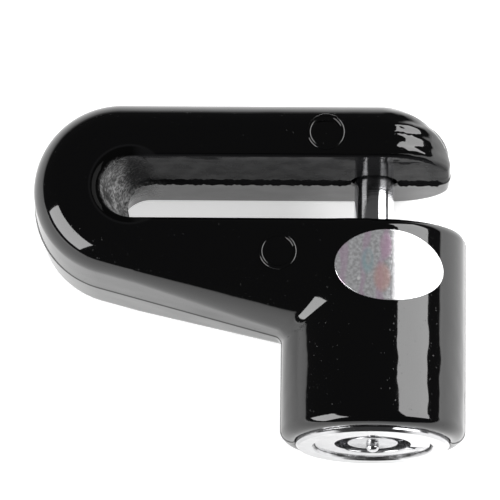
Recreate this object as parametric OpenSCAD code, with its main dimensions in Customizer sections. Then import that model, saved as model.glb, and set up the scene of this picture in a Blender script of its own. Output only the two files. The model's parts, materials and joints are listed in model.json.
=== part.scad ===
// Disc brake lock: a cast U-shaped body with a push-in lock cylinder.
// The origin is on the locking pin's axis, in the middle of the disc slot.
// +X is the open end of the slot, -Y is the end with the key, +Z is the front face.

/* [Lock body] */
// Diameter of the round barrel that holds the lock cylinder, and depth of the arms
barrel_d = 25.5; // [25:0.1:32]
// Wall of the barrel round its bore
barrel_wall = 2.05; // [1.9:0.05:3]
// Distance from the pin's axis to the centre of the U bend
reach = 35.1; // [28:0.1:45]
// Outside radius of the U bend
bend_r = 12.4; // [11.5:0.1:16]
// How far the bend's centre lies above the slot's middle
bend_lift = 0.4; // [0:0.1:1]
// Narrowing of the arms from the parting plane to a face
arm_draft = 0.35; // [0.1:0.05:0.4]
// Radius of the upper arm's end, seen from above
nose_r = 18; // [15:0.5:24]
// How far the upper arm runs past the pin's axis
arm_end = 10.8; // [9.5:0.1:13]
// Radius of the upper arm's outer corner
arm_corner_r = 5.5; // [5.5:0.1:8]
// Rounding of the arms' outer edges
edge_r = 5; // [3:0.1:5.1]
// Height of the lower arm's round heel below the slot's middle
heel_drop = 8.9; // [8:0.1:12]
// Rounding of the barrel's bottom rim
rim_r = 1.3; // [0.8:0.1:1.8]

/* [Disc slot] */
// Width of the slot at the casting's parting plane
slot_gap = 7.76; // [6:0.02:9.4]
// Widening of each slot wall from the parting plane to a face
slot_draft = 0.57; // [0.2:0.01:0.8]
// How far the slot's round end is cut deeper at the front face
front_relief = 2.65; // [0:0.05:3]
// How far the slot's round end is cut deeper at the back face
back_relief = 0.7; // [0:0.05:3]
// Distance from the bend's centre to the centre of the slot's round end
slot_set_back = 4; // [2:0.05:5]

/* [Locking pin] */
// Diameter of the locking pin
pin_d = 5.5; // [4.5:0.1:7]
// How far the pin enters the upper arm
pin_engage = 4; // [3:0.1:5]
// Width of the gap round the pin's tip in the upper arm
mouth_gap = 0.45; // [0.2:0.05:0.8]
// Diameter of the pin's spigot in the cylinder case
spigot_d = 3.8; // [3:0.1:4.2]
// Diameter of the cross pin through the spigot
cross_pin_d = 1.2; // [0.8:0.1:1.4]

/* [Return spring] */
// Wire of the return spring
spring_wire = 0.9; // [0.7:0.05:1.1]
// Coils of the return spring
spring_turns = 5; // [3:1:6]
// Mean diameter of the return spring
spring_d = 13; // [10:0.1:16]
// Barrel roof between the spring and the slot
roof = 3.8; // [3:0.1:5]

/* [Cylinder case] */
// Wall of the case round the lock core
case_wall = 2.55; // [2.4:0.05:3]
// How far the case stands out of the barrel when it is pushed in
case_proud = 0.7; // [0.3:0.1:1.5]
// End wall of the case, which holds the pin
case_end_wall = 3; // [2.4:0.1:4]
// Depth of the guide groove in the case
groove_depth = 1.45; // [1:0.05:1.5]
// Diameter of the stop pin that runs in the guide groove
stop_pin_d = 2.4; // [1.6:0.1:3]
// Distance from the case's face to the stop pin
stop_pin_up = 3.5; // [3:0.1:4.5]

/* [Lock core] */
// How far the core's face sits below the case's face
core_recess = 0.4; // [0.2:0.1:0.8]
// Wall of the core shell
shell_wall = 1.8; // [1.5:0.05:2.2]
// Width of the lip that hides the rotor
lip_width = 1.05; // [0.6:0.05:1.4]
// Thickness of the lip
lip_thick = 1.5; // [1:0.1:2.5]
// Radial width of the round keyway
keyway_width = 1.75; // [1.4:0.05:2]
// Width of the key's alignment notch
notch_width = 1.3; // [0.8:0.1:1.8]
// Angle of the notch, towards the back
notch_angle = 20; // [0:5:45]
// Depth of the room in front of the rotor
key_room = 2.4; // [1.5:0.1:4]
// Length of the rotor
rotor_len = 3.3; // [2.5:0.1:4.5]
// Length of the stator
stator_len = 4.1; // [3.5:0.1:5]
// Number of tumbler pins
tumblers = 7; // [7:1:7]
// Diameter of the tumbler pins
tumbler_d = 1.5; // [1.2:0.05:1.6]
// Diameter of the spindle's tail
tail_d = 4; // [3.4:0.1:5]
// Diameter of the nib on the spindle's face
nib_d = 1.8; // [1.2:0.1:2.4]

/* [Latch] */
// Throw of the cam pin from the barrel's axis
cam_throw = 1; // [0.8:0.05:1.05]
// Diameter of the cam pin
cam_pin_d = 1.4; // [1.2:0.1:2]
// Diameter of the cam
cam_d = 9.2; // [7.5:0.1:10]
// Thickness of the cam
cam_thick = 2; // [1.8:0.1:2.6]
// Width of the latch
latch_width = 5; // [4.4:0.1:6]
// Thickness of the latch
latch_thick = 2.2; // [1.6:0.1:3]
// How far the latch reaches into the barrel's wall
latch_reach = 1; // [0.6:0.05:1.05]

/* [Label] */
// Thickness of the foil label
label_thick = 0.12; // [0.08:0.01:0.2]
// Width of the label, seen from the front
label_w = 15; // [12:0.1:15.5]
// Height of the label
label_h = 10; // [8:0.1:12]
// Shift of the label's middle to the right of the axis
label_x = 2.1; // [0:0.1:2.4]
// Distance from the slot's middle down to the label's middle
label_drop = 11.2; // [10.4:0.1:13]

/* [Hidden] */

// How deep the key pushes each tumbler pin, in steps
KEY_CUTS = [2, 4, 1, 3, 5, 2, 3];
// One step of a key cut
CUT_STEP = 0.25;

$fn = 96;
eps = 0.01;
run_gap = 0.05; // between pieces that turn or slide on each other
press_gap = 0.01; // between pieces that are pressed together
free_gap = 0.15; // between pieces that pass each other

// Radii, from the outside of the barrel inwards
barrel_r = barrel_d / 2;
half_depth = barrel_r;
bore_r = barrel_r - barrel_wall;
case_r = bore_r - run_gap;
shell_r = case_r - case_wall;
rotor_room_r = shell_r - shell_wall;
rotor_r = rotor_room_r - run_gap;
keyway_r = rotor_room_r - lip_width;
post_r = keyway_r - keyway_width;
tumbler_ring_r = (keyway_r + post_r) / 2;
pin_r = pin_d / 2;
tail_r = tail_d / 2;

// Places along the axis, measured from the case's face into the barrel
shell_at = core_recess;
room_at = shell_at + lip_thick;
rotor_at = room_at + key_room;
shear_at = rotor_at + rotor_len;
stator_at = shear_at + run_gap;
shell_end = stator_at + stator_len;
clip_thick = 0.6;
driver_len = 1.4;
spring_bed = 0.5;
clip_at = shell_end + free_gap;
cam_at = clip_at + clip_thick + free_gap;
cam_end = cam_at + cam_thick;
latch_at = cam_end + free_gap;
latch_end = latch_at + latch_thick;
case_roof_at = latch_end + free_gap;
case_len = case_roof_at + case_end_wall;
coil_gap = 0.1;
spring_room = (spring_turns + 1) * (spring_wire + coil_gap) + 2 * free_gap;
bore_end = case_len + spring_room;
slot_wall_at = bore_end + roof;
slot_mid = slot_wall_at + slot_gap / 2;
pin_tip = slot_mid + slot_gap / 2 + pin_engage;
travel = slot_gap + pin_engage + 2 * free_gap;

// The cam turns a quarter turn, from 45 degrees before to 45 degrees after the front
cam_start = 45;
latch_back = 4.5;
latch_spring_len = 2.9;

black = [0.02, 0.02, 0.022];
chrome = [0.82, 0.83, 0.85];
steel = [0.62, 0.63, 0.65];
brass = [0.78, 0.64, 0.33];
foil = [0.75, 0.76, 0.8];

// Puts a shape drawn along Z on the barrel's axis: Z becomes the way into the barrel,
// and the shape's +Y becomes the back of the lock.
module on_axis() {
    translate([0, -slot_mid, 0]) rotate([-90, 0, 0]) children();
}

// A drum of radius r with drafted sides and rounded rims, half as high as the arms are deep
module round_drum(r) {
    rim = r - arm_draft - edge_r;
    level = half_depth - edge_r;
    arc = [for (a = [0:15:90]) [rim + edge_r * cos(a), level + edge_r * sin(a)]];
    mirrored = [for (p = [len(arc) - 1:-1:0]) [arc[p][0], -arc[p][1]]];
    rotate_extrude($fn = 48)
        polygon(concat([[0, -half_depth]], mirrored, [[r, 0]], arc, [[0, half_depth]]));
}

// A coil spring of mean radius r along Z, from z = 0 to z = long, ends included
module coil(r, wire, turns, long, steps = 20, sides = 8) {
    rings = turns * steps;
    rise = long - wire;
    points = [for (i = [0:rings]) let (a = 360 * i / steps, z = wire / 2 + rise * i / rings)
        for (j = [0:sides - 1]) let (b = 360 * j / sides)
            [(r + wire / 2 * cos(b)) * cos(a), (r + wire / 2 * cos(b)) * sin(a),
                z + wire / 2 * sin(b)]];
    sides_faces = [for (i = [0:rings - 1], j = [0:sides - 1]) let (k = (j + 1) % sides)
        [i * sides + j, (i + 1) * sides + j, (i + 1) * sides + k, i * sides + k]];
    first = [for (j = [0:sides - 1]) j];
    last = [for (j = [sides - 1:-1:0]) rings * sides + j];
    polyhedron(points, concat([first], sides_faces, [last]));
}

// One thin slice of the slot: half width w, with its round end centred at x
module slot_slice(w, x, z) {
    translate([x, 0, z]) cylinder(r = w, h = eps, $fn = 48);
    translate([x, -w, z]) cube([barrel_d - x, 2 * w, eps]);
}

module slot_cut() {
    end_x = slot_set_back - reach;
    wide = slot_gap / 2 + slot_draft;
    hull() {
        slot_slice(slot_gap / 2, end_x, 0);
        slot_slice(wide, end_x - front_relief, half_depth);
    }
    hull() {
        slot_slice(slot_gap / 2, end_x, -eps);
        slot_slice(wide, end_x - back_relief, -half_depth - eps);
    }
}

module bend_drum() {
    translate([-reach, bend_lift, 0]) round_drum(bend_r);
}

module upper_arm() {
    top = bend_lift + bend_r;
    difference() {
        hull() {
            bend_drum();
            for (y = [0, top - arm_corner_r])
                translate([arm_end - arm_corner_r, y, 0]) round_drum(arm_corner_r);
        }
        // What lies below the slot's middle belongs to the lower arm
        translate([-reach - barrel_d, -barrel_d, -barrel_d])
            cube([reach + 2 * barrel_d, barrel_d, 2 * barrel_d]);
        // The end is a shallow arc, seen from above
        difference() {
            translate([arm_end - nose_r, -1, -barrel_d]) cube([nose_r + 1, top + 2, 2 * barrel_d]);
            translate([arm_end - nose_r, -2, 0]) rotate([-90, 0, 0])
                cylinder(r = nose_r, h = top + 4);
        }
    }
}

module lower_arm() {
    difference() {
        hull() {
            bend_drum();
            translate([0, -heel_drop, 0]) sphere(r = barrel_r, $fn = 48);
            translate([-eps, 0, -half_depth]) cube([eps, 1, 2 * half_depth]);
        }
        translate([-reach - barrel_d, 0, -barrel_d])
            cube([reach + 2 * barrel_d, barrel_d, 2 * barrel_d]);
    }
}

// The barrel's outside, with a rounded bottom rim
module barrel_round() {
    rotate_extrude() {
        translate([0, case_proud + rim_r]) square([barrel_r, slot_mid - case_proud - rim_r]);
        translate([0, case_proud]) square([barrel_r - rim_r, rim_r + eps]);
        translate([barrel_r - rim_r, case_proud + rim_r]) intersection() {
            circle(r = rim_r);
            translate([0, -rim_r]) square([rim_r, 2 * rim_r]);
        }
    }
}

// Bores and pockets that belong to the barrel's axis
module barrel_cuts() {
    bore_mouth = 0.3;
    cylinder(r = bore_r, h = bore_end);
    translate([0, 0, case_proud - eps]) cylinder(r1 = bore_r + bore_mouth, r2 = bore_r,
        h = bore_mouth);
    cylinder(r = pin_r + run_gap, h = slot_mid);
    // Mouth for the pin in the upper arm
    translate([0, 0, slot_mid]) cylinder(r = pin_r + mouth_gap, h = pin_tip + 0.5 - slot_mid);
    translate([0, 0, slot_mid + slot_gap / 2 - eps])
        cylinder(r1 = pin_r + 2.4 * mouth_gap, r2 = pin_r + mouth_gap, h = 1.4 * mouth_gap);
    // Groove that the latch runs in
    translate([-bore_r - latch_reach - free_gap, -latch_width / 2 - free_gap, latch_at - travel - free_gap])
        cube([bore_r, latch_width + 2 * free_gap, latch_thick + travel + 2 * free_gap]);
    // Hole of the stop pin
    translate([0, 0, stop_pin_up]) rotate([-90, 0, 0])
        cylinder(d = stop_pin_d + 2 * press_gap, h = barrel_d);
}

// Shallow round marks that the mould's ejectors leave on the front face
module ejector_marks() {
    mark_d = 4.8;
    for (at = [[-6.7, 7.7], [-13.2, -9.4]])
        translate([at[0], at[1], half_depth - 0.15]) cylinder(d = mark_d, h = 1);
}

module lock_body() {
    color(black) difference() {
        union() {
            upper_arm();
            lower_arm();
            on_axis() barrel_round();
        }
        slot_cut();
        on_axis() barrel_cuts();
        ejector_marks();
    }
}

// The foil lies flat left of the axis and bends round the barrel on the right
module foil_label() {
    oval = [for (i = [0:47]) [label_w / 2 * cos(7.5 * i), label_h / 2 * sin(7.5 * i)]];
    inside = half_depth + press_gap;
    outside = inside + label_thick;
    color(foil) intersection() {
        translate([label_x, -label_drop, 0]) linear_extrude(barrel_d) polygon(oval);
        translate([0, label_h - label_drop, 0]) rotate([90, 0, 0])
            linear_extrude(2 * label_h) {
                translate([-label_w, inside]) square([label_w, label_thick]);
                difference() {
                    circle(r = outside);
                    circle(r = inside);
                    translate([-barrel_d, -barrel_d]) square([barrel_d, 2 * barrel_d]);
                }
            }
    }
}

// Pin pressed through the barrel's back wall: it guides the case and stops it
module stop_pin() {
    tip_r = case_r - groove_depth + free_gap;
    color(steel) on_axis() translate([0, tip_r, stop_pin_up]) rotate([-90, 0, 0])
        cylinder(d = stop_pin_d, h = barrel_r - free_gap - tip_r);
}

module return_spring() {
    color(steel) on_axis() translate([0, 0, case_len + free_gap])
        coil(spring_d / 2, spring_wire, spring_turns, spring_room - 2 * free_gap);
}

module cylinder_case() {
    chamfer = 0.35;
    color(chrome) on_axis() difference() {
        union() {
            cylinder(r1 = case_r - chamfer, r2 = case_r, h = chamfer);
            translate([0, 0, chamfer]) cylinder(r = case_r, h = case_len - chamfer);
        }
        // Bore of the lock core, opened a little at the face
        translate([0, 0, -eps]) cylinder(r = shell_r + press_gap, h = shell_end + eps);
        translate([0, 0, -eps]) cylinder(r1 = shell_r + chamfer, r2 = shell_r, h = chamfer);
        // Room of the cam and channel of the latch
        cylinder(d = cam_d + 4 * free_gap, h = latch_at - free_gap / 2);
        translate([-case_r - 1, -latch_width / 2 - run_gap, latch_at - free_gap])
            cube([case_r + 1 + latch_back + latch_spring_len,
                latch_width + 2 * run_gap, latch_thick + 2 * free_gap]);
        // Hole of the locking pin's spigot and of its cross pin
        cylinder(d = spigot_d + 2 * press_gap, h = case_len + eps);
        translate([-case_r, 0, case_len - case_end_wall / 2]) rotate([0, 90, 0])
            cylinder(d = cross_pin_d + 2 * press_gap, h = 2 * case_r);
        // Guide groove for the stop pin
        guide_w = stop_pin_d + 2 * free_gap;
        translate([-guide_w / 2, case_r - groove_depth, stop_pin_up - guide_w / 2])
            cube([guide_w, case_r, travel + guide_w]);
    }
}

module locking_pin() {
    tip_chamfer = 0.5;
    color(chrome) on_axis() difference() {
        union() {
            translate([0, 0, case_len - case_end_wall])
                cylinder(d = spigot_d, h = case_end_wall + eps);
            translate([0, 0, case_len]) cylinder(r = pin_r, h = pin_tip - tip_chamfer - case_len);
            translate([0, 0, pin_tip - tip_chamfer])
                cylinder(r1 = pin_r, r2 = pin_r - tip_chamfer, h = tip_chamfer);
        }
        translate([-spigot_d, 0, case_len - case_end_wall / 2]) rotate([0, 90, 0])
            cylinder(d = cross_pin_d + 2 * press_gap, h = 2 * spigot_d);
    }
}

module pin_cross_pin() {
    long = 2 * (case_r - 2 * free_gap);
    color(steel) on_axis() translate([-long / 2, 0, case_len - case_end_wall / 2])
        rotate([0, 90, 0]) cylinder(d = cross_pin_d, h = long);
}

module core_shell() {
    chamfer = 0.3;
    color(chrome) on_axis() difference() {
        union() {
            translate([0, 0, shell_at]) cylinder(r1 = shell_r - chamfer, r2 = shell_r, h = chamfer);
            translate([0, 0, shell_at + chamfer])
                cylinder(r = shell_r, h = shell_end - shell_at - chamfer);
        }
        translate([0, 0, room_at]) cylinder(r = rotor_room_r, h = shell_end);
        cylinder(r = keyway_r, h = shell_end);
        rotate([0, 0, notch_angle]) translate([0, -notch_width / 2, 0])
            cube([rotor_room_r, notch_width, room_at + eps]);
        stator_pin_hole();
    }
}

// Radial hole through the shell and into the stator, half way between two tumblers
module stator_pin_hole() {
    rotate([0, 0, 180 / tumblers]) translate([0, 0, stator_at + stator_len / 2])
        rotate([0, 90, 0]) translate([0, 0, rotor_r - 1])
            cylinder(d = 1 + 2 * press_gap, h = shell_r);
}

// Puts children at each tumbler's place
module at_tumbler(i) {
    rotate([0, 0, 360 / tumblers * i]) translate([tumbler_ring_r, 0, 0]) children();
}

module stator() {
    bore_depth = stator_len - spring_bed;
    color(brass) on_axis() difference() {
        translate([0, 0, stator_at]) cylinder(r = rotor_room_r - press_gap, h = stator_len);
        translate([0, 0, stator_at - 1]) cylinder(r = tail_r + run_gap, h = stator_len + 2);
        for (i = [0:tumblers - 1]) at_tumbler(i) translate([0, 0, stator_at - 1])
            cylinder(d = tumbler_d + 2 * run_gap, h = bore_depth + 1);
        stator_pin_hole();
    }
}

module stator_pin() {
    color(steel) on_axis() rotate([0, 0, 180 / tumblers])
        translate([0, 0, stator_at + stator_len / 2]) rotate([0, 90, 0])
            translate([0, 0, rotor_r - 1 + press_gap])
                cylinder(d = 1, h = shell_r - 2 * free_gap - rotor_r + 1);
}

module driver_pins() {
    color(brass) on_axis() for (i = [0:tumblers - 1]) at_tumbler(i)
        translate([0, 0, stator_at + eps]) cylinder(d = tumbler_d, h = driver_len);
}

module driver_springs() {
    wire = 0.2;
    start = stator_at + driver_len + 0.05;
    color(steel) on_axis() for (i = [0:tumblers - 1]) at_tumbler(i)
        translate([0, 0, start])
            coil(tumbler_d / 2 - wire, wire, 3, shell_end - spring_bed - eps - start, 8, 4);
}

// Centre post, rotor and tail, in one turned piece
module spindle() {
    flat = 0.7;
    nib_r = nib_d / 2;
    tail_end = cam_at + 1.2;
    color(chrome) on_axis() difference() {
        union() {
            translate([0, 0, shell_at + 0.2]) cylinder(r = post_r, h = rotor_at - shell_at);
            translate([0, 0, rotor_at]) cylinder(r = rotor_r, h = rotor_len);
            translate([0, 0, shear_at - eps]) cylinder(r = tail_r, h = tail_end - shear_at);
            translate([0, 0, 0.2]) cylinder(r = nib_r, h = 1);
            translate([0, 0, 0.2]) intersection() {
                sphere(r = nib_r);
                translate([0, 0, -nib_r + eps]) cylinder(r = nib_r, h = nib_r);
            }
        }
        for (i = [0:tumblers - 1]) at_tumbler(i) translate([0, 0, rotor_at - 1])
            cylinder(d = tumbler_d + 2 * run_gap, h = rotor_len + 2);
        // Groove of the clip
        translate([0, 0, clip_at - run_gap]) difference() {
            cylinder(r = tail_r + 1, h = clip_thick + 2 * run_gap);
            translate([0, 0, -1]) cylinder(r = tail_r - 0.4, h = clip_thick + 3);
        }
        // Two flats that drive the cam
        for (side = [-1, 1]) translate([-tail_d, side * (tail_r + tail_r - flat) - tail_r, cam_at])
            cube([2 * tail_d, tail_d, 3]);
    }
}

module spindle_clip() {
    color(steel) on_axis() translate([0, 0, clip_at]) difference() {
        cylinder(r = tail_r + 1.2, h = clip_thick);
        translate([0, 0, -1]) cylinder(r = tail_r - 0.4 + press_gap, h = 3);
        translate([0, -tail_r * 0.7, -1]) cube([tail_d, tail_r * 1.4, 3]);
    }
}

module latch_cam() {
    flat = 0.7;
    socket = 1.3;
    color(steel) on_axis() difference() {
        union() {
            translate([0, 0, cam_at]) cylinder(d = cam_d, h = cam_thick);
            rotate([0, 0, -cam_start]) translate([0, -cam_throw, cam_at])
                cylinder(d = cam_pin_d, h = cam_thick + latch_thick + free_gap);
        }
        translate([0, 0, cam_at - 1]) intersection() {
            cylinder(r = tail_r + press_gap, h = socket + 1);
            translate([-tail_d, -tail_r + flat - press_gap, 0])
                cube([2 * tail_d, tail_d - 2 * flat + 2 * press_gap, socket + 1]);
        }
    }
}

module latch_bolt() {
    slot_w = cam_pin_d + 0.2;
    nose = case_r + latch_reach;
    pin_x = -cam_throw * sin(cam_start);
    bevel = 0.8;
    color(steel) on_axis() difference() {
        translate([-nose, -latch_width / 2, latch_at])
            cube([nose + latch_back, latch_width, latch_thick]);
        translate([pin_x - slot_w / 2, -cam_throw - cam_pin_d / 2 - 0.2, latch_at - 1])
            cube([slot_w, cam_throw + cam_pin_d + 0.4, latch_thick + 2]);
        translate([-nose, -latch_width, latch_end]) rotate([0, 45, 0])
            cube([bevel, 2 * latch_width, bevel]);
    }
}

module latch_spring() {
    color(steel) on_axis() translate([latch_back + run_gap, 0, latch_at + latch_thick / 2])
        rotate([0, 90, 0]) coil(0.75, 0.25, 5, latch_spring_len - 2 * run_gap, 12, 6);
}

// A tumbler pin in the rotor: its back end is at the shear line
module key_pin(i) {
    front = room_at + 0.3 + KEY_CUTS[i] * CUT_STEP;
    tip = 0.35;
    color(brass) on_axis() at_tumbler(i) {
        translate([0, 0, front]) cylinder(d1 = tumbler_d - 2 * tip, d2 = tumbler_d, h = tip);
        translate([0, 0, front + tip]) cylinder(d = tumbler_d, h = shear_at - front - tip);
    }
}

lock_body();
foil_label();
stop_pin();
return_spring();
cylinder_case();
locking_pin();
pin_cross_pin();
core_shell();
stator();
stator_pin();
driver_pins();
driver_springs();
spindle();
spindle_clip();
latch_cam();
latch_bolt();
latch_spring();
key_pin(0);  // key_pin_1
key_pin(1);  // key_pin_2
key_pin(2);  // key_pin_3
key_pin(3);  // key_pin_4
key_pin(4);  // key_pin_5
key_pin(5);  // key_pin_6
key_pin(6);  // key_pin_7
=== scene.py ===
import json
import math

import bmesh
import bpy
import numpy as np
from mathutils import Matrix, Vector


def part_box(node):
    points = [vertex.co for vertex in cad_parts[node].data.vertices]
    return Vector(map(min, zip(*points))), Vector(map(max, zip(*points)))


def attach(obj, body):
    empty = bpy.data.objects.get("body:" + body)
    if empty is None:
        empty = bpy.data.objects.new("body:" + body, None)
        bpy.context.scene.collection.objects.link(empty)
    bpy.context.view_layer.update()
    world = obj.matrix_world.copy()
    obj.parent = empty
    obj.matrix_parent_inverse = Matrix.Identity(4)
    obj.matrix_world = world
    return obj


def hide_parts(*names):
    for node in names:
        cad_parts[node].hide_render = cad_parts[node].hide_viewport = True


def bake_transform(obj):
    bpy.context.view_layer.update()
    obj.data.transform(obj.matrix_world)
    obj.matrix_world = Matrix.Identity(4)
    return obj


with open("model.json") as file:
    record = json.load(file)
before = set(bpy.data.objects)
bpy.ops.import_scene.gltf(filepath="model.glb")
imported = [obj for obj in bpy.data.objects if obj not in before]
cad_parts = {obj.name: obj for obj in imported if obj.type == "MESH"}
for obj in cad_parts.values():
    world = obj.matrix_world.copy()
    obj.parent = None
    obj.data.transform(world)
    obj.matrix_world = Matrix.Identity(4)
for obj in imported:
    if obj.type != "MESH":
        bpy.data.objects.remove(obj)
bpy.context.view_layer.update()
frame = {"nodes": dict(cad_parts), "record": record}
MM = 0.001


# ---------------------------------------------------------------- lock body
# The body is one zinc casting: two flat arms that bend into a U round the
# slot for the brake disc, and a round barrel below the lower arm. It is cast
# in two mould halves that meet at mid-depth, then coated in gloss black.


def node_box(name):
    """Lowest and highest corners of a node of the frame, in mm."""
    return [np.round(np.array(corner) / MM, 4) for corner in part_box(name)]


body_low, body_high = node_box("lock_body")
HALF_DEPTH = body_high[2]
BEND_R = 12.4
BEND = (body_low[0] + BEND_R, body_high[1] - BEND_R)
EDGE_R = 5.0
ARM_DRAFT = 0.35
ARM_OVERLAP = 3.0
ARM_END = 10.8
END_LEAN = 0.12
CORNER_R = 4.8
CORNER_SPREAD = 4.2
CORNER_DEPTH = 9.0
HEEL = (0.0, -8.9)
HEEL_LENGTH = 33.0
HEEL_EDGE_R = HALF_DEPTH - 0.4

BARREL_R = body_high[0]
BARREL_TOP_Y = 2.0
BARREL_END_Y = body_low[1]
RIM_R = 1.6
CREASE_R = 0.9
CREASE_LEAST_R = 0.02
CREASE_START_X = -1.5
CREASE_FADE = 3.0

SLOT_HALF = 3.88
SLOT_DRAFT = 0.57
SLOT_END_X = -31.1
SLOT_EDGE_R = 1.25
FRONT_RELIEF = 2.65
BACK_RELIEF = 0.7

PARTING_HEIGHT = 0.11
PARTING_HALF = 0.2
FLASH_HEIGHT = 0.42
FLASH_HALF = 0.24
FLASH_REACH = 0.4
FLASH_FADE = 0.3
FLASH_END_X = 9.8

BORE_R = 10.7
BORE_END_Y = -7.68
PIN_R = node_box("locking_pin")[1][0]
PIN_FIT = 0.05
PIN_MOUTH_R = 3.2
PIN_MOUTH_END_Y = 8.4
GROOVE_Y = -24.26
GROOVE_HALF_LENGTH = 7.28
GROOVE_HALF_WIDTH = 2.65
GROOVE_R = 11.85
STOP_HOLE_Y = -30.63
STOP_HOLE_R = 1.21
HOLE_EDGE_R = 0.35


def union_round(a, b, r):
    """Union of two distances with a concave fillet: the larger of r and the
    smaller distance, less the length of what both lie inside of r."""
    inner = np.hypot(np.maximum(r - a, 0), np.maximum(r - b, 0))
    return np.maximum(r, np.minimum(a, b)) - inner


def common_round(a, b, r):
    """Common part of two distances with a rounded edge: the smaller of -r and
    the larger distance, plus the length of what both stand outside of -r."""
    outer = np.hypot(np.maximum(r + a, 0), np.maximum(r + b, 0))
    return np.minimum(-r, np.maximum(a, b)) + outer


def two_circle_skirt(x, y, a, ra, b, rb):
    """Distance to the lower side of the hull of two circles: to either circle
    past its own tangent point, and to the tangent line between them."""
    span = math.hypot(b[0] - a[0], b[1] - a[1])
    ux, uy = (b[0] - a[0]) / span, (b[1] - a[1]) / span
    along = (x - a[0]) * ux + (y - a[1]) * uy
    across = (x - a[0]) * uy - (y - a[1]) * ux
    s = (ra - rb) / span
    c = math.sqrt(1 - s * s)
    where = c * along - s * across
    near = np.hypot(across, along) - ra
    far = np.hypot(across, along - span) - rb
    side = c * across + s * along - ra
    return np.where(where < 0, near, np.where(where > c * span, far, side))


def plate(outline, depth, edge):
    """Distance to a plate with rounded edges, whose outline shrinks by its
    draft from the middle plane to the faces."""
    return common_round(outline + ARM_DRAFT * depth / HALF_DEPTH, depth - HALF_DEPTH, edge)


def arms_distance(x, y, depth):
    """Distance to the two arms, which share the round bend. The upper one has
    a leaning end whose corner is wider in front. The lower one's edge grows
    rounder on its way down to the barrel's heel."""
    above = np.where(x < BEND[0], np.hypot(x - BEND[0], y - BEND[1]), y - BEND[1]) - BEND_R
    end = x - ARM_END + END_LEAN * np.maximum(y - SLOT_HALF, 0.0)
    corner_r = CORNER_R + CORNER_SPREAD * np.sin(np.clip(depth / CORNER_DEPTH, 0.0, 1.0) * math.pi / 2)
    upper = np.maximum(common_round(plate(above, depth, EDGE_R), end, corner_r), -ARM_OVERLAP - y)
    heel_share = np.clip(1.0 + x / HEEL_LENGTH, 0.0, 1.0)
    lower = plate(two_circle_skirt(x, y, BEND, BEND_R, HEEL, BARREL_R), depth,
                  EDGE_R + (HEEL_EDGE_R - EDGE_R) * heel_share)
    lower = np.maximum(np.maximum(lower, y - ARM_OVERLAP), x)
    return np.minimum(upper, lower)


def barrel_distance(x, y, z):
    """Distance to the barrel: a cylinder with a rounded rim."""
    ends = np.maximum(BARREL_END_Y - y, y - BARREL_TOP_Y)
    return common_round(np.hypot(x, z) - BARREL_R, ends, RIM_R)


def slot_distance(x, y, z):
    """Distance to the disc slot, which has a round end. Towards both faces it
    grows wider by its draft and longer by the relief of its end."""
    share = np.abs(z) / HALF_DEPTH
    end_x = SLOT_END_X - np.where(z > 0, FRONT_RELIEF, BACK_RELIEF) * share
    middle = np.where(x < end_x, np.hypot(x - end_x, y), np.abs(y))
    return middle - SLOT_HALF - SLOT_DRAFT * share


def holes_distance(x, y, z):
    """Distance to the nearest hole: the pin's hole and its mouth in the upper
    arm, the barrel's bore, the latch's groove and the stop pin's hole."""
    axis_r = np.hypot(x, z)
    pin_hole = np.maximum(axis_r - PIN_R - PIN_FIT, y)
    pin_mouth = np.maximum(np.maximum(axis_r - PIN_MOUTH_R, -y), y - PIN_MOUTH_END_Y)
    bore = np.maximum(axis_r - BORE_R, y - BORE_END_Y)
    groove = np.maximum(np.abs(y - GROOVE_Y) - GROOVE_HALF_LENGTH, np.abs(z) - GROOVE_HALF_WIDTH)
    groove = np.maximum(groove, np.maximum(x, -x - GROOVE_R))
    stop_hole = np.maximum(np.hypot(x, y - STOP_HOLE_Y) - STOP_HOLE_R, z)
    return np.min([pin_hole, pin_mouth, bore, groove, stop_hole], axis=0)


def casting_distance(x, y, z):
    """Signed distance to the casting in mm, negative inside: arms and barrel
    joined with a crease, less the slot and the holes. The mould halves meet in
    a fine raised line, which is a ragged flash in the slot."""
    crease = CREASE_R * np.clip((CREASE_START_X - x) / CREASE_FADE, 0.0, 1.0) + CREASE_LEAST_R
    solid = union_round(arms_distance(x, y, np.abs(z)), barrel_distance(x, y, z), crease)
    slot = slot_distance(x, y, z)
    solid = common_round(solid, -slot, SLOT_EDGE_R)
    in_slot = np.exp(-np.maximum(np.abs(slot) - FLASH_REACH, 0.0) ** 2 / FLASH_FADE)
    in_slot = in_slot * np.clip(FLASH_END_X - x, 0.0, 1.0)
    ragged = 1.0 + 0.35 * np.sin(2.3 * x) * np.sin(5.1 * x + 0.8)
    solid = solid - PARTING_HEIGHT * np.exp(-(z / PARTING_HALF) ** 2) * (1 - in_slot)
    solid = solid - FLASH_HEIGHT * ragged * in_slot * np.exp(-(z / FLASH_HALF) ** 4)
    return common_round(solid, -holes_distance(x, y, z), HOLE_EDGE_R)


def gradient(distance, points, h=0.03):
    """Value and central-difference gradient of a distance at points."""
    x, y, z = points.T
    slope = np.stack([distance(x + h, y, z) - distance(x - h, y, z),
                      distance(x, y + h, z) - distance(x, y - h, z),
                      distance(x, y, z + h) - distance(x, y, z - h)], 1) / (2 * h)
    return distance(x, y, z), slope


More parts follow.
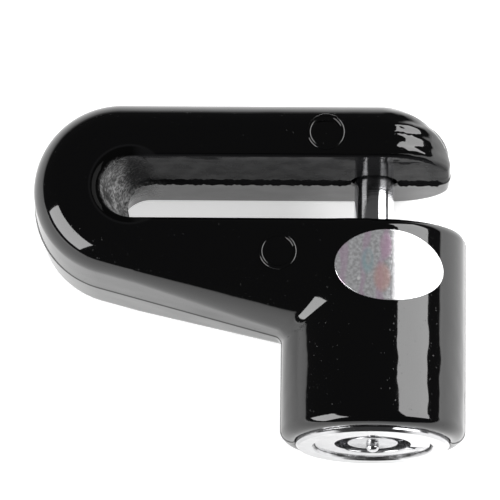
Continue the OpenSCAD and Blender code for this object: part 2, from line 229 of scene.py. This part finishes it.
def surface_net(distance, xs, ys, zs, rounds=4):
    """Closed quad mesh of the surface where distance is 0: one vertex in each
    cell that the surface crosses, at the mean of the cell's edge crossings,
    then moved along the gradient onto the surface."""
    field = distance(xs[:, None, None], ys[None, :, None], zs[None, None, :])
    inside = field < 0
    count = np.zeros([n - 1 for n in field.shape], np.int8)
    for i in (0, 1):
        for j in (0, 1):
            for k in (0, 1):
                count += inside[i:i + field.shape[0] - 1, j:j + field.shape[1] - 1,
                                k:k + field.shape[2] - 1]
    cells = np.argwhere((count > 0) & (count < 8))
    number = np.full(count.shape, -1, np.int64)
    number[tuple(cells.T)] = np.arange(len(cells))
    lines = (xs, ys, zs)
    total = np.zeros((len(cells), 3))
    hits = np.zeros(len(cells))
    quads = []
    for axis in range(3):
        p, q = (axis + 1) % 3, (axis + 2) % 3
        # Where the cell's four edges along this axis cross the surface
        for u in (0, 1):
            for v in (0, 1):
                start = cells.copy()
                start[:, p] += u
                start[:, q] += v
                stop = start.copy()
                stop[:, axis] += 1
                f0, f1 = field[tuple(start.T)], field[tuple(stop.T)]
                cross = (f0 < 0) != (f1 < 0)
                t = np.where(cross, f0 / np.where(cross, f0 - f1, 1), 0)
                p0 = np.stack([lines[a][start[:, a]] for a in range(3)], 1)
                p1 = np.stack([lines[a][stop[:, a]] for a in range(3)], 1)
                total += cross[:, None] * (p0 + t[:, None] * (p1 - p0))
                hits += cross
        # One quad through the four cells round each edge that is crossed
        low = np.take(inside, range(field.shape[axis] - 1), axis)
        high = np.take(inside, range(1, field.shape[axis]), axis)
        edges = np.argwhere(low != high)
        outward = low[tuple(edges.T)]
        corners = []
        for dp, dq in ((-1, -1), (0, -1), (0, 0), (-1, 0)):
            cell = edges.copy()
            cell[:, p] += dp
            cell[:, q] += dq
            corners.append(number[tuple(cell.T)])
        face = np.stack(corners, 1)
        quads.append(np.where(outward[:, None], face, face[:, ::-1]))
    points = total / hits[:, None]
    for _ in range(rounds):
        value, slope = gradient(distance, points)
        step = np.clip(value / np.maximum((slope ** 2).sum(1), 0.2), -0.15, 0.15)
        points -= step[:, None] * slope
    _, slope = gradient(distance, points)
    return points, np.concatenate(quads), slope / np.linalg.norm(slope, axis=1)[:, None]


def make_piece(name, points, faces, normals=None, smooth=True):
    """A mesh object from points in mm and an array of faces."""
    mesh = bpy.data.meshes.new(name)
    mesh.from_pydata((np.asarray(points) * MM).tolist(), [], np.asarray(faces).tolist())
    mesh.polygons.foreach_set("use_smooth", np.full(len(mesh.polygons), smooth))
    mesh.update()
    if normals is not None:
        mesh.normals_split_custom_set_from_vertices(np.asarray(normals).tolist())
    piece = bpy.data.objects.new(name, mesh)
    bpy.context.scene.collection.objects.link(piece)
    return piece


def spun(profile, segments):
    """Points and quads of a closed ring surface: the closed profile of
    (radius, y) pairs is carried once round the barrel's axis."""
    profile = np.asarray(profile, float)
    n = len(profile)
    turn = np.linspace(0, 2 * math.pi, segments, endpoint=False)
    r, y = profile[:, 0][None, :], profile[:, 1][None, :]
    points = np.stack([r * np.sin(turn)[:, None], np.broadcast_to(y, (segments, n)),
                       r * np.cos(turn)[:, None]], 2).reshape(-1, 3)
    i, j = np.meshgrid(np.arange(segments), np.arange(n), indexing="ij")
    i2, j2 = (i + 1) % segments, (j + 1) % n
    faces = np.stack([i * n + j, i * n + j2, i2 * n + j2, i2 * n + j], 2).reshape(-1, 4)
    return points, faces


class Value:
    """A number socket that plain arithmetic works on."""

    def __init__(self, finish, socket):
        self.finish = finish
        self.socket = socket

    def __add__(self, other):
        return self.finish.maths("ADD", self, other)

    def __radd__(self, other):
        return self.finish.maths("ADD", other, self)

    def __sub__(self, other):
        return self.finish.maths("SUBTRACT", self, other)

    def __rsub__(self, other):
        return self.finish.maths("SUBTRACT", other, self)

    def __mul__(self, other):
        return self.finish.maths("MULTIPLY", self, other)

    def __rmul__(self, other):
        return self.finish.maths("MULTIPLY", other, self)

    def __truediv__(self, other):
        return self.finish.maths("DIVIDE", self, other)

    def __rtruediv__(self, other):
        return self.finish.maths("DIVIDE", other, self)


class Finish:
    """A material under construction, with its Principled shader."""

    def __init__(self, name, **fixed):
        self.material = bpy.data.materials.new(name)
        self.material.use_nodes = True
        self.tree = self.material.node_tree
        self.shader = self.tree.nodes["Principled BSDF"]
        for socket, number in fixed.items():
            self.shader.inputs[socket.replace("_", " ")].default_value = number
        self.place = self.tree.nodes.new("ShaderNodeTexCoord").outputs["Object"]

    def node(self, kind, settings, inputs):
        """A node of a kind, with its settings first and then the values or
        links of its sockets."""
        made = self.tree.nodes.new(kind)
        for key, setting in settings.items():
            setattr(made, key, setting)
        for key, given in inputs.items():
            given = getattr(given, "socket", given)
            if isinstance(given, bpy.types.NodeSocket):
                self.tree.links.new(given, made.inputs[key])
            else:
                made.inputs[key].default_value = given
        return made

    def value(self, kind, settings, inputs):
        """The first output of a new node."""
        return Value(self, self.node(kind, settings, inputs).outputs[0])

    def maths(self, operation, *given):
        """The result of a Math node on one or two values."""
        return self.value("ShaderNodeMath", {"operation": operation}, dict(enumerate(given)))

    def noise(self, scale, detail=2.0, where=None):
        """Soft noise from 0 to 1, with scale lumps in a metre."""
        return self.value("ShaderNodeTexNoise", {}, {
            "Vector": where or self.place, "Scale": scale, "Detail": detail})

    def range(self, given, low, high):
        """A value's share of the way from low, 0, to high, 1."""
        return self.value("ShaderNodeMapRange", {"clamp": True}, {
            "Value": given, "From Min": low, "From Max": high})

    def mix(self, factor, one, two):
        """A colour between two others."""
        return self.node("ShaderNodeMix", {"data_type": "RGBA"}, {
            "Factor": factor, 6: one, 7: two}).outputs[2]

    def split(self):
        """The place on the object, in metres along X, Y and Z."""
        apart = self.node("ShaderNodeSeparateXYZ", {}, {0: self.place})
        return [Value(self, socket) for socket in apart.outputs]

    def feed(self, **links):
        """Links values or colours to the shader's own sockets."""
        for key, given in links.items():
            self.tree.links.new(getattr(given, "socket", given),
                                self.shader.inputs[key.replace("_", " ")])

    def cover(self, amount, colour, roughness):
        """Lays a matt film over the shader, as thick as amount says."""
        film = self.node("ShaderNodeBsdfDiffuse", {}, {"Color": colour, "Roughness": roughness})
        both = self.node("ShaderNodeMixShader", {}, {
            0: amount, 1: self.shader.outputs[0], 2: film.outputs[0]})
        self.tree.links.new(both.outputs[0], self.tree.nodes["Material Output"].inputs[0])

    def bump(self, height, strength, distance):
        """Tilts the surface by a height from 0 to 1, over distance metres."""
        made = self.node("ShaderNodeBump", {}, {
            "Height": height, "Strength": strength, "Distance": distance})
        self.feed(Normal=made.outputs[0])


black = Finish("gloss_black_coat", IOR=1.5)
x_at, y_at, z_at = black.split()
in_front = black.range(z_at, 0.0, 0.4 * MM) * black.range(z_at, 12.5 * MM, 11.5 * MM)
speckle = black.noise(2600.0, 4.0)
speck = black.range(black.noise(2600.0, 1.0), 0.73, 0.78)
patch = black.noise(420.0, 3.0)
smear = black.range(black.noise(160.0, 3.0), 0.45, 0.75)
orange_peel = black.noise(420.0, 2.0)
ripple = black.noise(110.0, 1.5)

# The slot's walls get painted shade from a dark matt film, heaviest on the front half; its round end is
# rough as cast, and the rim round the end gets painted shade too
end_at = x_at - SLOT_END_X * MM + FRONT_RELIEF / HALF_DEPTH * black.maths("MAXIMUM", z_at, 0.0)
end_r = black.maths("SQRT", end_at * end_at + y_at * y_at)
left_end = black.range(x_at, -29.0 * MM, -33.5 * MM)
in_end = black.range(end_r, 4.6 * MM, 4.1 * MM) * left_end
# Painted shade: the rim round the slot's end gets a near-black matt film that hides its reflection
rim_painted_shade = black.range(end_r, 5.8 * MM, 5.4 * MM) * left_end * black.range(z_at, 11.2 * MM, 11.8 * MM)
rough_end = in_end * black.range(speckle + 0.6 * patch, 0.74, 0.98)
in_slot = black.range(y_at * y_at, (4.7 * MM) ** 2, (4.3 * MM) ** 2)
in_slot = in_slot * black.range(x_at, -35.2 * MM, -34.0 * MM)

# The coat sags in low waves on the upper arm's end and on the barrel's front
wave = black.maths("SINE", y_at * 3200.0 + 1.6 + 5.0 * black.noise(260.0, 2.0))
lumps = wave * black.range(x_at, 1.0 * MM, 4.0 * MM) * black.range(x_at, 9.5 * MM, 7.0 * MM)
lumps = lumps * black.range(y_at, 3.5 * MM, 4.5 * MM) * black.range(z_at, 7.0 * MM, 9.5 * MM)
sag = black.noise(170.0, 1.5) * black.range(y_at, -12.0 * MM, -20.0 * MM)

dark_end = black.mix(in_end * patch, (0.0006, 0.0006, 0.0007, 1), (0.08, 0.08, 0.08, 1))
black.feed(Base_Color=black.mix(rough_end, dark_end, (0.34, 0.34, 0.34, 1)),
           Roughness=0.05 + 0.03 * smear + 0.2 * speck + 0.4 * in_end)
black.bump(orange_peel * 0.02 + ripple * 0.30 + sag * 0.45 + speck * 0.02 + lumps * 0.2
           + in_end * speckle * 0.5, 1.0, 0.4 * MM)
# Painted shade: a dark matt film over the slot's walls, thicker on the front half, dims their reflection
slot_painted_shade = in_slot * (0.30 + 0.48 * in_front) * (0.8 + 0.4 * patch)
# Painted shade: a near-black film also covers the rim round the slot's end
black.cover(slot_painted_shade + 0.95 * rim_painted_shade * (1.0 - in_end),
            black.mix(rim_painted_shade, (0.016, 0.016, 0.017, 1), (0.002, 0.002, 0.002, 1)), 1.0)

# The mesh is finer in depth where the two halves meet
CELL = 0.39
FINE_CELL = 0.09
xs = np.arange(-48.3, 13.4, CELL)
ys = np.arange(-34.2, 13.6, CELL)
half = np.concatenate([np.arange(FINE_CELL / 2, 0.45, FINE_CELL), np.arange(0.6, 13.5, CELL)])
zs = np.concatenate([-half[::-1], half])
points, faces, normals = surface_net(casting_distance, xs, ys, zs)

# Two ejector pins of the mould leave a round mark with a raised rim
MARK_CENTRES = ((-6.7, 7.7), (-13.2, -9.4))
MARK_R = 2.35
MARK_RIM_HALF = 0.24
MARK_RIM_HEIGHT = 0.09
around = np.linspace(0, 2 * math.pi, 12, endpoint=False)[::-1]
rim_profile = np.stack([MARK_R + MARK_RIM_HALF * np.cos(around), MARK_RIM_HEIGHT * np.sin(around)], 1)
rim_points, rim_faces = spun(rim_profile, 72)
rim_points = rim_points[:, [0, 2, 1]]
outwards = rim_points[:, :2] / np.hypot(rim_points[:, 0], rim_points[:, 1])[:, None]
rim_normals = rim_points - np.pad(outwards * MARK_R, ((0, 0), (0, 1)))
rim_normals[:, 2] *= 5.0
rim_normals /= np.linalg.norm(rim_normals, axis=1)[:, None]
for centre_x, centre_y in MARK_CENTRES:
    faces = np.concatenate([faces, rim_faces[:, ::-1] + len(points)])
    points = np.concatenate([points, rim_points + np.array([centre_x, centre_y, HALF_DEPTH])])
    normals = np.concatenate([normals, rim_normals])

casting = make_piece("casting", points, faces, normals)
casting.data.materials.append(black.material)
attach(casting, "body")
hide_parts("lock_body")


# ---------------------------------------------------------------- foil label
# An oval of metallised foil stuck on the front: flat beside the barrel's
# front line and bent round the barrel on the right. It shows faint rainbow
# swirls where the light catches it, and its bent right part carries a painted
# highlight.

label_low, label_high = node_box("foil_label")
LABEL_CENTRE = (label_low + label_high) / 2
LABEL_HALF = (label_high - label_low) / 2
FOIL_THICKNESS = 0.12
FOIL_GAP = 0.005
FOIL_RINGS = 22
FOIL_SEGMENTS = 128

foil = Finish("holographic_foil")
fx, fy, _ = foil.split()


def lobe(centre_x, centre_y, half_x, half_y):
    """An oval patch on the foil, given in mm, that fades to 0 at its edge."""
    u = (fx - centre_x * MM) / (half_x * MM)
    v = (fy - centre_y * MM) / (half_y * MM)
    return foil.range(u * u + v * v, 1.0, 0.15)


sparkle = foil.noise(2400.0, 2.0)
bend = foil.noise(190.0, 2.0)
stripe = foil.value("ShaderNodeTexWave", {"bands_direction": "X"}, {
    "Vector": foil.place, "Scale": 110.0, "Distortion": 5.0, "Detail": 3.0})
left_part = foil.range(fx, 3.4 * MM, 2.6 * MM)
painted_highlight_part = foil.range(fx, 2.4 * MM, 3.4 * MM)
swirl = lobe(-0.9, -10.7, 1.0, 2.1) * (1.0 - 0.8 * lobe(-0.75, -10.4, 0.55, 1.3))
grey = foil.mix(foil.range(sparkle, 0.35, 0.65), (0.50, 0.50, 0.51, 1), (0.74, 0.74, 0.76, 1))
violet = foil.mix(0.55 * left_part * foil.range(stripe + bend, 1.05, 1.40), grey, (0.60, 0.42, 0.57, 1))
teal = foil.mix(0.85 * swirl, violet, (0.42, 0.60, 0.64, 1))
orange = foil.mix(0.65 * foil.range(lobe(1.1, -13.0, 1.5, 2.6) * (0.5 + bend), 0.2, 0.8),
                  teal, (0.80, 0.48, 0.44, 1))
pink = foil.mix(0.6 * foil.range(lobe(1.6, -8.6, 1.1, 2.4) * (0.5 + bend), 0.2, 0.8),
                orange, (0.70, 0.46, 0.62, 1))
# Painted highlight: the right part, bent round the barrel, is near white and less metallic, a painted
# reflection of the right soft box
pink_and_painted_highlight = foil.mix(painted_highlight_part, pink, (0.95, 0.95, 0.95, 1))
foil.feed(Base_Color=foil.mix(lobe(-2.1, -13.2, 0.28, 0.34), pink_and_painted_highlight, (0.98, 0.98, 0.98, 1)),
          Metallic=0.78 - 0.5 * painted_highlight_part, Roughness=0.13 + 0.10 * sparkle)
foil.bump(bend * 0.8 + sparkle * 0.05 + stripe * 0.05, 0.6, 0.2 * MM)

# The label's top runs from its middle to its edge, and its back returns
rho = np.linspace(0, 0.97, FOIL_RINGS)
rho = np.concatenate([rho, [0.99, 1.0, 1.0, 0.99], rho[::-1]])
lift = np.concatenate([np.ones(FOIL_RINGS), [0.98, 0.8, 0.2, 0.02], np.zeros(FOIL_RINGS)])
phi = np.linspace(0, 2 * math.pi, FOIL_SEGMENTS, endpoint=False)
oval_x = LABEL_CENTRE[0] + LABEL_HALF[0] * rho[None, :] * np.cos(phi)[:, None]
oval_y = LABEL_CENTRE[1] + LABEL_HALF[1] * rho[None, :] * np.sin(phi)[:, None]
layer_r = HALF_DEPTH + FOIL_GAP + FOIL_THICKNESS * np.broadcast_to(lift, oval_x.shape)
oval_z = np.where(oval_x > 0, np.sqrt(np.maximum(layer_r ** 2 - oval_x ** 2, 0)), layer_r)
label_points = np.stack([oval_x, oval_y, oval_z], 2).reshape(-1, 3)
n = len(rho)
i, j = np.meshgrid(np.arange(FOIL_SEGMENTS), np.arange(n - 1), indexing="ij")
i2 = (i + 1) % FOIL_SEGMENTS
label_faces = np.stack([i * n + j, i * n + j + 1, i2 * n + j + 1, i2 * n + j], 2).reshape(-1, 4)


def welded(name, points, faces):
    """A piece whose coinciding points are merged, so that poles are closed,
    and whose faces point outwards."""
    piece = make_piece(name, points, faces)
    work = bmesh.new()
    work.from_mesh(piece.data)
    bmesh.ops.remove_doubles(work, verts=work.verts, dist=1e-7)
    bmesh.ops.dissolve_degenerate(work, edges=work.edges, dist=1e-8)
    bmesh.ops.recalc_face_normals(work, faces=work.faces)
    work.to_mesh(piece.data)
    work.free()
    piece.data.polygons.foreach_set("use_smooth", np.ones(len(piece.data.polygons), bool))
    return piece


label = welded("label_foil", label_points, label_faces)
label.data.materials.append(foil.material)
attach(label, "body")
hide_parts("foil_label")


# ---------------------------------------------------------------- locking pin
# The pin is a turned and plated steel rod. It stands in the cylinder case's
# end wall on a thinner spigot, held by a cross pin, and crosses the slot.

pin_low, pin_high = node_box("locking_pin")
case_low, case_high = node_box("cylinder_case")
PIN_TIP_Y = pin_high[1]
PIN_TIP_BEVEL = 0.5
PIN_FOOT_Y = case_high[1]
SPIGOT_R = 1.9
SPIGOT_END_Y = pin_low[1]
TURNED_EDGE = 0.12

chrome = Finish("bright_plating", Metallic=1.0)
cx, cy, cz = chrome.split()
wear = chrome.noise(240.0, 4.0)
across = chrome.node("ShaderNodeVectorMath", {"operation": "MULTIPLY"}, {
    0: chrome.place, 1: (1.0, 160.0, 1.0)})
turning = chrome.noise(60.0, 2.0, across.outputs[0])

# Painted shade darkens the inside of the keyway, and a dark joint runs round the core
off_axis = chrome.maths("SQRT", cx * cx + cz * cz)
keyway_painted_shade = chrome.range(off_axis, 5.35 * MM, 5.15 * MM) * chrome.range(cy, -33.8 * MM, -33.0 * MM)
keyway_painted_shade = keyway_painted_shade * chrome.range(cy, -18.0 * MM, -19.0 * MM)
joint = chrome.range(off_axis, 7.85 * MM, 8.00 * MM) * chrome.range(off_axis, 8.35 * MM, 8.20 * MM)
joint = joint * chrome.range(cy, -33.0 * MM, -33.6 * MM) * chrome.range(chrome.noise(260.0, 3.0), 0.42, 0.56)
keyway_shade_and_joint = chrome.maths("MAXIMUM", keyway_painted_shade, joint)
bright = chrome.mix(chrome.range(wear, 0.40, 0.68), (0.78, 0.78, 0.80, 1), (0.60, 0.60, 0.62, 1))
# Painted shade: the lock face's plating is a darker grey than the rest, toning down its brightness under the
# lamps
face_painted_shade = chrome.mix(chrome.noise(900.0, 4.0), (0.38, 0.38, 0.385, 1), (0.52, 0.52, 0.53, 1))
plating = chrome.mix(chrome.range(cy, -33.4 * MM, -33.6 * MM), bright, face_painted_shade)
chrome.feed(Base_Color=chrome.mix(keyway_shade_and_joint * 0.93, plating, (0.02, 0.02, 0.02, 1)),
            Roughness=0.07 + 0.16 * chrome.range(wear, 0.5, 0.75) + 0.04 * turning + 0.3 * keyway_shade_and_joint)
chrome.bump(turning * 0.4 + wear * 0.3, 0.25, 0.1 * MM)


def rounded(profile, radius):
    """Closed profile with its corners rounded: each corner becomes a quadratic
    curve between the places radius away from it on its two sides. A corner on
    the axis stays."""
    corners = np.asarray(profile, float)
    result = []
    for k, corner in enumerate(corners):
        before, after = corners[k - 1] - corner, corners[(k + 1) % len(corners)] - corner
        if corner[0] < 1e-6:
            result.append(corner)
            continue
        before_length, after_length = np.linalg.norm(before), np.linalg.norm(after)
        cut = min(radius, before_length * 0.45, after_length * 0.45)
        start = corner + before / before_length * cut
        stop = corner + after / after_length * cut
        for t in np.linspace(0, 1, 5):
            result.append((1 - t) ** 2 * start + 2 * t * (1 - t) * corner + t * t * stop)
    return np.array(result)


def turned(name, profile):
    """A plated piece whose rounded profile is carried round the barrel's axis."""
    piece = welded(name, *spun(rounded(profile, TURNED_EDGE), 96))
    piece.data.materials.append(chrome.material)
    return piece


pin = turned("pin_rod", [
    (0, SPIGOT_END_Y), (SPIGOT_R, SPIGOT_END_Y), (SPIGOT_R, PIN_FOOT_Y), (PIN_R, PIN_FOOT_Y),
    (PIN_R, PIN_TIP_Y - PIN_TIP_BEVEL), (PIN_R - PIN_TIP_BEVEL, PIN_TIP_Y), (0, PIN_TIP_Y)])
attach(pin, "cylinder")
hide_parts("locking_pin")


# ---------------------------------------------------------------- springs
# Both springs are coils of drawn steel wire. A wide one round the pin pushes
# the cylinder out of the barrel, and a fine one inside the case pushes the
# latch out.

spring_low, spring_high = node_box("return_spring")
latch_low, latch_high = node_box("latch_spring")
SPRING_WIRE_R = 0.45
SPRING_R = spring_high[0] - SPRING_WIRE_R
SPRING_TOP_Y = spring_high[1]
SPRING_FOOT_Y = spring_low[1]
LATCH_COIL_Y = (latch_low[1] + latch_high[1]) / 2
LATCH_COIL_ENDS = (4.55, 7.35)
LATCH_COIL_INSET = 0.13
LATCH_WIRE_R = 0.125
LATCH_COIL_R = latch_high[2] - LATCH_WIRE_R
COIL_TURNS = 5

steel = Finish("drawn_steel", Metallic=1.0)
grain = steel.noise(900.0, 3.0)
steel.feed(Base_Color=steel.mix(grain, (0.52, 0.52, 0.54, 1), (0.36, 0.36, 0.38, 1)),
           Roughness=0.28 + 0.2 * grain)
steel.bump(grain, 0.2, 0.1 * MM)


def coil_tube(radius, wire_r, start, stop, steps, sides):
    """A closed helical tube round the barrel's axis: the wire's round section
    is carried along a helix between two places on the axis."""
    t = np.linspace(0, 1, COIL_TURNS * steps + 1)
    angle = 2 * math.pi * COIL_TURNS * t
    centre = np.stack([radius * np.cos(angle), start + (stop - start) * t,
                       radius * np.sin(angle)], 1)
    radial = np.stack([np.cos(angle), np.zeros_like(angle), np.sin(angle)], 1)
    axial = np.array([0.0, 1.0, 0.0])
    b = np.linspace(0, 2 * math.pi, sides, endpoint=False)[None, :, None]
    ring = centre[:, None] + wire_r * (np.cos(b) * radial[:, None] + np.sin(b) * axial)
    caps = np.concatenate([np.broadcast_to(centre[0], (1, sides, 3)), ring,
                           np.broadcast_to(centre[-1], (1, sides, 3))])
    i, j = np.meshgrid(np.arange(len(caps) - 1), np.arange(sides), indexing="ij")
    j2 = (j + 1) % sides
    faces = np.stack([i * sides + j, (i + 1) * sides + j, (i + 1) * sides + j2,
                      i * sides + j2], 2).reshape(-1, 4)
    return caps.reshape(-1, 3), faces


spring = welded("spring_coil", *coil_tube(SPRING_R, SPRING_WIRE_R, SPRING_TOP_Y - SPRING_WIRE_R,
                                          SPRING_FOOT_Y + SPRING_WIRE_R, 40, 12))
spring.data.materials.append(steel.material)
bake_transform(spring)
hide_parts("return_spring")

latch_points, latch_faces = coil_tube(
    LATCH_COIL_R, LATCH_WIRE_R, LATCH_COIL_ENDS[0] + LATCH_COIL_INSET,
    LATCH_COIL_ENDS[1] - LATCH_COIL_INSET, 20, 8)
latch_points = latch_points[:, [1, 0, 2]] + np.array([0.0, LATCH_COIL_Y, 0.0])
latch_coil = welded("latch_coil", latch_points, latch_faces)
latch_coil.data.materials.append(steel.material)
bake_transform(latch_coil)
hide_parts("latch_spring")


# ---------------------------------------------------------------- lock core
# A plated shell pressed into the case, with a lip round the keyway, and the
# spindle: a centre post with a small domed nib, which the key turns.

shell_low, shell_high = node_box("core_shell")
FACE_Y = case_low[1]
SHELL_R = shell_high[0]
ROOM_R = 6.3
KEYWAY_R = 5.25
NOTCH_HALF = 0.65
NOTCH_ANGLE = math.radians(20.0)
NOTCH_REACH = 0.02
SHELL_FACE_Y = shell_low[1]
SHELL_END_Y = shell_high[1]
ROOM_Y = SHELL_FACE_Y + 1.5
SHELL_EDGE = 0.22

shell_points, shell_faces = spun(rounded([
    (KEYWAY_R, ROOM_Y), (KEYWAY_R, SHELL_FACE_Y), (SHELL_R, SHELL_FACE_Y),
    (SHELL_R, SHELL_END_Y), (ROOM_R, SHELL_END_Y), (ROOM_R, ROOM_Y)], SHELL_EDGE), 288)
# The notch is the stretch of the lip that is pushed back to the room's wall
turn_at = np.arctan2(-shell_points[:, 2], shell_points[:, 0]) - NOTCH_ANGLE
r_at = np.hypot(shell_points[:, 0], shell_points[:, 2])
in_notch = (np.abs(r_at * np.sin(turn_at)) < NOTCH_HALF) & (np.cos(turn_at) > 0)
in_notch = in_notch & (r_at < ROOM_R - NOTCH_REACH)
shell_points[:, ::2] *= np.where(in_notch, (ROOM_R + NOTCH_REACH) / r_at, 1.0)[:, None]
shell = welded("core_sleeve", shell_points, shell_faces)
shell.data.materials.append(chrome.material)
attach(shell, "cylinder")
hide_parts("core_shell")

NIB_R = 0.9
POST_R = 3.5
POST_Y = FACE_Y + 0.6
COLLAR_R = node_box("spindle")[1][0]
COLLAR_Y = FACE_Y + 4.3
COLLAR_END_Y = FACE_Y + 7.6
TAIL_R = 2.0
CLIP_SEAT_R = 1.6
CLIP_SEAT_Y = FACE_Y + 11.85
CLIP_SEAT_END_Y = FACE_Y + 12.55
TAIL_END_Y = FACE_Y + 12.75
CAM_SEAT_R = 1.3
CAM_SEAT_END_Y = FACE_Y + 13.8

post = turned("key_post", [
    (0, FACE_Y - 0.62), (0.35, FACE_Y - 0.6), (0.7, FACE_Y - 0.4), (NIB_R, FACE_Y - 0.05),
    (NIB_R, POST_Y), (POST_R, POST_Y), (POST_R, COLLAR_Y), (COLLAR_R, COLLAR_Y),
    (COLLAR_R, COLLAR_END_Y), (TAIL_R, COLLAR_END_Y), (TAIL_R, CLIP_SEAT_Y),
    (CLIP_SEAT_R, CLIP_SEAT_Y), (CLIP_SEAT_R, CLIP_SEAT_END_Y), (TAIL_R, CLIP_SEAT_END_Y),
    (TAIL_R, TAIL_END_Y), (CAM_SEAT_R, TAIL_END_Y), (CAM_SEAT_R, CAM_SEAT_END_Y),
    (0, CAM_SEAT_END_Y)])
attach(post, "spindle")
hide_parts("spindle")


# ---------------------------------------------------------------- inner pieces
# The cylinder case, the stator, the latch with its cam, the brass tumblers
# and the small steel pins keep the frame's shapes and get their metals here.

brass = Finish("turned_brass", Metallic=1.0)
tarnish = brass.noise(500.0, 3.0)
brass.feed(Base_Color=brass.mix(tarnish, (0.42, 0.31, 0.14, 1), (0.22, 0.16, 0.08, 1)),
           Roughness=0.2 + 0.2 * tarnish)
brass.bump(tarnish, 0.2, 0.1 * MM)

finishes = {"chrome": chrome, "steel": steel, "brass": brass, "gloss_black": black, "foil": foil}
slot_of = {row["node"]: row["material_slot"] for row in frame["record"]["subparts"]}
for node_name, node_object in frame["nodes"].items():
    node_object.data.materials.clear()
    node_object.data.materials.append(finishes[slot_of[node_name]].material)


# ---------------------------------------------------------------- studio
# The lock lies on its back on a pale floor, among two soft boxes. The camera
# looks down on it from in front of the lock face.

FLOOR_Z = -HALF_DEPTH - 0.05
FLOOR_HALF = 1500.0
FLOOR_STEPS = 5

pale = Finish("pale_floor", Roughness=0.9, Emission_Strength=1.0)
ox, oy, _ = pale.split()
away = pale.maths("SQRT", ox * ox + oy * oy)
near = pale.mix(pale.noise(3.0, 2.0), (0.80, 0.80, 0.80, 1), (0.83, 0.83, 0.83, 1))
# Painted light: the floor glows, brightest near the lock and fading away from it and behind it, a painted
# pool of light that washes out the lock's shadows; its colour turns dark grey behind
pale.feed(Base_Color=pale.mix(pale.range(oy, 0.05, 0.18), near, (0.15, 0.15, 0.15, 1)),
          Emission_Color=pale.mix(pale.range(away + oy * 4.0, 0.30, 1.2),
                                  (0.52, 0.52, 0.52, 1), (0.06, 0.06, 0.06, 1)))
side = np.linspace(-FLOOR_HALF, FLOOR_HALF, FLOOR_STEPS)
gx, gy = np.meshgrid(side, side, indexing="ij")
floor_points = np.stack([gx, gy, np.full_like(gx, FLOOR_Z)], 2).reshape(-1, 3)
a, b = np.meshgrid(np.arange(FLOOR_STEPS - 1), np.arange(FLOOR_STEPS - 1), indexing="ij")
corner = a * FLOOR_STEPS + b
floor_faces = np.stack([corner, corner + FLOOR_STEPS, corner + FLOOR_STEPS + 1, corner + 1], 2)
floor = make_piece("floor", floor_points, floor_faces.reshape(-1, 4), smooth=False)
floor.data.materials.append(pale.material)

world = bpy.data.worlds.new("studio")
world.use_nodes = True
world.node_tree.nodes["Background"].inputs[0].default_value = (0.075, 0.075, 0.076, 1)
bpy.context.scene.world = world


def soft_box(name, toward, distance, width, height, radiance):
    """A rectangular area light that faces the lock from a direction, in mm.
    Its power is its radiance times pi times its area."""
    aim = Vector((-14.0, -10.0, 0.0))
    place = aim + Vector(toward).normalized() * distance
    data = bpy.data.lights.new(name, "AREA")
    data.shape = "RECTANGLE"
    data.size, data.size_y = width * MM, height * MM
    data.energy = radiance * math.pi * data.size * data.size_y
    lamp = bpy.data.objects.new(name, data)
    lamp.location = place * MM
    lamp.rotation_euler = (aim - place).to_track_quat("-Z", "Y").to_euler()
    bpy.context.scene.collection.objects.link(lamp)


soft_box("right_box", (0.76, 0.26, 0.60), 520, 700, 360, 7.5)
soft_box("left_box", (-0.74, -0.38, 0.42), 560, 440, 380, 8.5)

LOOK_AT = Vector((-17.32, -5.93, 0.0))
DISTANCE = 700.0
ELEVATION = math.radians(75.18)
AZIMUTH = math.radians(4.9)
ROLL = math.radians(-4.37)

camera_data = bpy.data.cameras.new("camera")
camera_data.lens = 360
camera_data.sensor_width = 36
camera_data.clip_end = 10
camera = bpy.data.objects.new("camera", camera_data)
bpy.context.scene.collection.objects.link(camera)
toward = Vector((math.sin(AZIMUTH) * math.cos(ELEVATION), -math.cos(AZIMUTH) * math.cos(ELEVATION),
                 math.sin(ELEVATION)))
camera.location = (LOOK_AT + DISTANCE * toward) * MM
aimed = (-toward).to_track_quat("-Z", "Y").to_matrix()
camera.rotation_euler = (aimed @ Matrix.Rotation(ROLL, 3, "Z")).to_euler()
bpy.context.scene.camera = camera
bpy.context.scene.view_settings.view_transform = "Standard"
